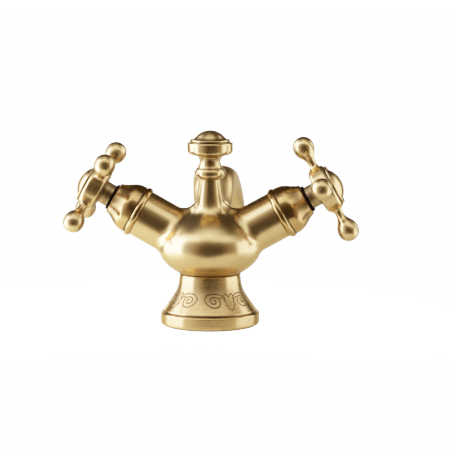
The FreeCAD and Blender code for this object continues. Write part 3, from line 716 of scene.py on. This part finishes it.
def plain_finish(name, pale, dark, grain, roughness, metallic=0.0, bump=0.15, shine=0.5):
    """A finish that wavers between two colours with a fine grain."""
    material, start, surface = new_material(name)
    point = places(start, UPRIGHT)[0]
    noise = {"Vector": point, "Scale": grain, "Detail": 5.0}
    fine = start.node("ShaderNodeTexNoise", inputs=noise)
    bumps = {"Height": fine, "Strength": bump, "Distance": GRAIN_DEPTH}
    look = {
        "Base Color": fine.step(GRAIN_FROM, GRAIN_TO).mix(dark, pale),
        "Metallic": metallic,
        "Roughness": roughness + (fine - NOISE_MIDDLE) * ROUGH_BY_GRAIN,
        "Specular IOR Level": shine,
        "Normal": start.node("ShaderNodeBump", inputs=bumps),
    }
    start.plug(surface, start.node("ShaderNodeBsdfPrincipled", inputs=look))
    return material


print("plain finishes can be made")

# %% [markdown]
# Each CAD node still names the finish that it was planned with, so a loop over
# the nodes gives every one that isn't dressed yet its own.

# %% Dress the inner pieces
finishes = {
    "raw_brass": plain_finish(
        "raw brass", rgb(0.80, 0.58, 0.26), rgb(0.68, 0.46, 0.18),
        grain=1.5, roughness=0.3, metallic=1.0,
    ),
    "black_rubber": plain_finish(
        "black rubber", rgb(0.020, 0.017, 0.015), rgb(0.010, 0.008, 0.007),
        grain=4.0, roughness=0.9, shine=0.0,
    ),
    "black_plastic": plain_finish(
        "black plastic", rgb(0.016, 0.011, 0.008), rgb(0.008, 0.005, 0.004),
        grain=3.0, roughness=0.9, shine=0.0,
    ),
    "white_plastic": plain_finish(
        "white plastic", rgb(0.82, 0.82, 0.79), rgb(0.72, 0.72, 0.69), grain=3.0, roughness=0.45
    ),
    "ceramic": plain_finish(
        "ceramic", rgb(0.88, 0.87, 0.83), rgb(0.80, 0.79, 0.75), grain=5.0, roughness=0.18
    ),
    "fibre": plain_finish(
        "red fibre", rgb(0.42, 0.13, 0.09), rgb(0.26, 0.07, 0.05),
        grain=2.5, roughness=0.8, bump=0.4,
    ),
    "steel": plain_finish(
        "steel", rgb(0.62, 0.61, 0.59), rgb(0.48, 0.47, 0.46),
        grain=2.0, roughness=0.3, metallic=1.0,
    ),
}
inner = 0
for name, node in nodes.items():
    planned = node.material_slots[0].material.name
    if planned in finishes:
        dress(name, finishes[planned])
        inner += 1
print("other finishes on", inner, "nodes")

# %% [markdown]
# ## The engraved pedestal
#
# On the real tap the scrolls are cut as fine lines into the flared skirt and
# stay dark. They could be a bump map, but then the line would vanish in the
# model. So the pedestal is turned again here with `spin`, with a dense net of
# faces in the engraved band, and each point near a line is pushed inwards.
#
# The outline goes from the underside over the foot's ring, the groove and the
# skirt to the top, and down again inside. All its points are (radius, height)
# in mm. The skirt's flare is one smooth curve through six measured points.

# %% Skirt of the pedestal
SKIRT = [(24.4, 8.2), (23.3, 9.7), (20.3, 13.9), (17.8, 18.1), (16.5, 22.6), (15.8, 26.8)]
SKIRT_LOW, SKIRT_TOP = 8.25, 26.8
BAND_LOW, BAND_HIGH = 10.3, 19.5
ROWS_BELOW, BAND_ROWS, ROWS_ABOVE = 7, 72, 14
skirt_curve = np.polyfit([z for r, z in SKIRT], [r for r, z in SKIRT], 5)


def skirt_radius(z):
    """The skirt's radius at a height."""
    return float(np.polyval(skirt_curve, z))


heights = list(np.linspace(SKIRT_LOW, BAND_LOW, ROWS_BELOW))
heights += list(np.linspace(BAND_LOW, BAND_HIGH, BAND_ROWS))[1:]
heights += list(np.linspace(BAND_HIGH, SKIRT_TOP, ROWS_ABOVE))[1:]
skirt = [(skirt_radius(z), z) for z in heights]
print("skirt of", len(skirt), "rows, from", round(skirt[0][0], 1), "to", round(skirt[-1][0], 1), "mm")

# %% [markdown]
# The ring has a rounded edge below and above. Short arcs of points are enough
# for them, because the piece is shaded smooth.

# %% Outline of the pedestal
def arc_points(centre, radius, start, end, count):
    """Points of a round edge, from one angle to another in degrees."""
    found = []
    for turn in np.radians(np.linspace(start, end, count)):
        found.append((centre[0] + radius * math.cos(turn), centre[1] + radius * math.sin(turn)))
    return found


RING_RADIUS, LOWER_ROUND, UPPER_ROUND = 26.0, 1.5, 0.95
underside = [(24.3, 2.4), (24.3, 0.4), (24.6, 0.4)]
ring = arc_points((RING_RADIUS - LOWER_ROUND, 1.9), LOWER_ROUND, -88, 0, 7)
ring += [(RING_RADIUS, 3.0), (RING_RADIUS, 5.0), (RING_RADIUS, 6.2)]
ring += arc_points((RING_RADIUS - UPPER_ROUND, 6.25), UPPER_ROUND, 0, 90, 7)
groove = [(24.5, 7.25), (24.1, 7.32), (24.1, 7.9), (24.35, 8.05)]
top = [(15.5, 27.1), (14.35, 27.1)]
hollow = [(14.35, 24.0), (14.35, 22.4), (15.6, 18.3), (17.8, 14.4), (20.6, 10.4), (22.6, 7.0), (22.6, 2.4)]
outline = underside + ring + groove + skirt + top + hollow
print("outline of", len(outline), "points")

# %% [markdown]
# The ornament repeats four times round the pedestal. Each unit is a drooping
# leaf with a scroll on either side, mirrored, so one half of a unit is enough
# to draw. Its points are (distance from the leaf's middle, height) in mm. The
# scroll starts at the leaf, goes over the top and winds inwards, so its radius
# is given at some angles and shrinks between them.

# %% The scroll and the leaf
SCROLL_AT = math.radians(25.5)
SCROLL_Z = 15.1
SCROLL_FLATTENED = 0.88
SCROLL_TURNS = (25, 60, 90, 180, 270, 360, 450, 540, 630, 800)
SCROLL_RADII = (6.0, 4.2, 3.6, 4.4, 3.6, 3.4, 1.95, 1.8, 1.5, 0.8)
SCROLL_STEP = 12.0
LEAF = [(0, 16.9), (0.9, 18.0), (2.0, 18.5), (2.8, 17.5), (2.2, 16.2), (3.0, 15.4),
        (2.1, 14.4), (2.8, 13.2), (1.5, 12.5), (1.4, 11.6), (0, 10.6)]
STALK = [(2.3, 16.0), (3.9, 16.6), (5.4, 16.7)]


def scroll_line():
    """The scroll as points of (distance from the leaf's middle, height)."""
    turns = np.arange(SCROLL_TURNS[0], SCROLL_TURNS[-1] + 1, SCROLL_STEP)
    radii = np.interp(turns, SCROLL_TURNS, SCROLL_RADII)
    middle = SCROLL_AT * skirt_radius(SCROLL_Z)
    turns = np.radians(turns)
    across = middle - radii * np.cos(turns)
    return np.stack([across, SCROLL_Z + SCROLL_FLATTENED * radii * np.sin(turns)], 1)


lines = [scroll_line(), np.array(LEAF, float), np.array(STALK, float)]
print("lines of", [len(line) for line in lines], "points")

# %% [markdown]
# Every point of the net asks how near it is to a line. Its angle is folded into
# the half unit first, so that the one drawing serves all eight halves.

# %% How deep the cut is
UNIT = math.radians(90)
LEAF_AT = math.radians(35.5)
LINE_HALF_WIDTH = 0.29
LINE_FLANK = 1.4


def distance_to_line(points, line):
    """How far each point is from a line of straight pieces."""
    nearest = np.full(len(points), np.inf)
    for a, b in zip(line[:-1], line[1:]):
        share = np.clip((points - a) @ (b - a) / ((b - a) @ (b - a)), 0, 1)
        nearest = np.minimum(nearest, np.linalg.norm(points - a - share[:, None] * (b - a), axis=1))
    return nearest


def engraving(points):
    """How deep the cut is at each (x, y, z) in mm, from 0 to 1."""
    turn = np.arctan2(points[:, 0], -points[:, 1]) - LEAF_AT
    folded = np.abs((turn + UNIT / 2) % UNIT - UNIT / 2)
    flat = np.stack([folded * np.hypot(points[:, 0], points[:, 1]), points[:, 2]], 1)
    near = np.min([distance_to_line(flat, line) for line in lines], axis=0)
    return np.clip(LINE_FLANK - LINE_FLANK * near / LINE_HALF_WIDTH, 0, 1)


print("lines", 2 * LINE_HALF_WIDTH, "mm wide")

# %% [markdown]
# The outline is spun once round, and its seam is merged. A full turn of `spin`
# gives all the faces at once, where a lathe of hand-made faces would need its
# own bookkeeping.

# %% Spin the pedestal
SPIN_STEPS = 640
MERGE_WITHIN = 0.002 * MM


def spun(points):
    """A bmesh in metres of a closed outline, turned round the upright axis."""
    shape = bmesh.new()
    corners = [shape.verts.new((r * MM, 0, z * MM)) for r, z in points]
    edges = [shape.edges.new(pair) for pair in zip(corners, corners[1:] + corners[:1])]
    bmesh.ops.spin(
        shape, geom=corners + edges, cent=(0, 0, 0), axis=(0, 0, 1), dvec=(0, 0, 0),
        angle=2 * math.pi, steps=SPIN_STEPS, use_merge=True, use_duplicate=False,
    )
    bmesh.ops.remove_doubles(shape, verts=shape.verts, dist=MERGE_WITHIN)
    bmesh.ops.recalc_face_normals(shape, faces=shape.faces)
    return shape


shape = spun(outline)
print("spun pedestal of", len(shape.faces), "faces")

# %% [markdown]
# Then the net is pushed in along the lines, on the outer wall only. The depth is
# also kept as an attribute on the mesh, so that the finish knows where the stain
# stays.

# %% Engrave it
LINE_DEPTH = 0.16
WALL_MIDDLE = ([0, 30], [23.2, 13.0])


def engrave(shape):
    """Pushes the points near a line inwards, and keeps each depth."""
    depth_of = shape.verts.layers.float.new("engraved")
    spots = np.array([v.co[:] for v in shape.verts]) / MM
    outer = np.hypot(spots[:, 0], spots[:, 1]) > np.interp(spots[:, 2], *WALL_MIDDLE)
    inside = (spots[:, 2] > BAND_LOW) & (spots[:, 2] < BAND_HIGH) & outer
    cut = 0
    for vert, depth, in_band in zip(shape.verts, engraving(spots), inside):
        if in_band and depth > 0:
            vert[depth_of] = depth
            outwards = Vector((vert.co.x, vert.co.y, 0)).normalized()
            vert.co -= outwards * depth * LINE_DEPTH * MM
            cut += 1
    return cut


print("engraved", engrave(shape), "of", len(shape.verts), "points")

# %% [markdown]
# The new pedestal stands for the CAD one, and moves with the tap's body. Edges
# sharper than 50 degrees stay sharp, and the rest is shaded smooth.

# %% Put the pedestal on the tap
SHARP_EDGE = math.radians(50)
mesh = bpy.data.meshes.new("engraved_pedestal")
shape.to_mesh(mesh)
shape.free()
pedestal = bpy.data.objects.new("engraved_pedestal", mesh)
bpy.context.scene.collection.objects.link(pedestal)
mesh.shade_smooth()
mesh.set_sharp_from_angle(angle=SHARP_EDGE)
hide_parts("pedestal")
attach(pedestal, "tap_body")
print("pedestal of", len(mesh.polygons), "faces")

# %% [markdown]
# The pedestal is the most brushed piece: its white flanks end in straight edges.
# Besides the engraved lines, the stain stays in the groove above the ring. The
# finish is also darker at the very foot, and thinly over the middle of the skirt.

# %% Stained lines and finish
LINE_STAIN_FULL, LINE_STAIN = 0.5, 1.2
PEDESTAL_GROOVES = [(7.6, 0.6, 1.0), (0.2, 0.7, 1.0), (17.5, 9.0, 0.34)]


def engraved_lines(start):
    """The stain in the engraved lines."""
    depth = start.node("ShaderNodeAttribute", {"attribute_name": "engraved"}, give="Fac")
    return depth.step(0.0, LINE_STAIN_FULL) * LINE_STAIN


pedestal_brass = antique_brass(
    "pedestal brass",
    UPRIGHT,
    PEDESTAL_GROOVES,
    brown=0.35,
    roughness=0.24,
    brushing=0.9,
    extra=engraved_lines,
)
mesh.materials.append(pedestal_brass)
print("pedestal dressed in", pedestal_brass.name)
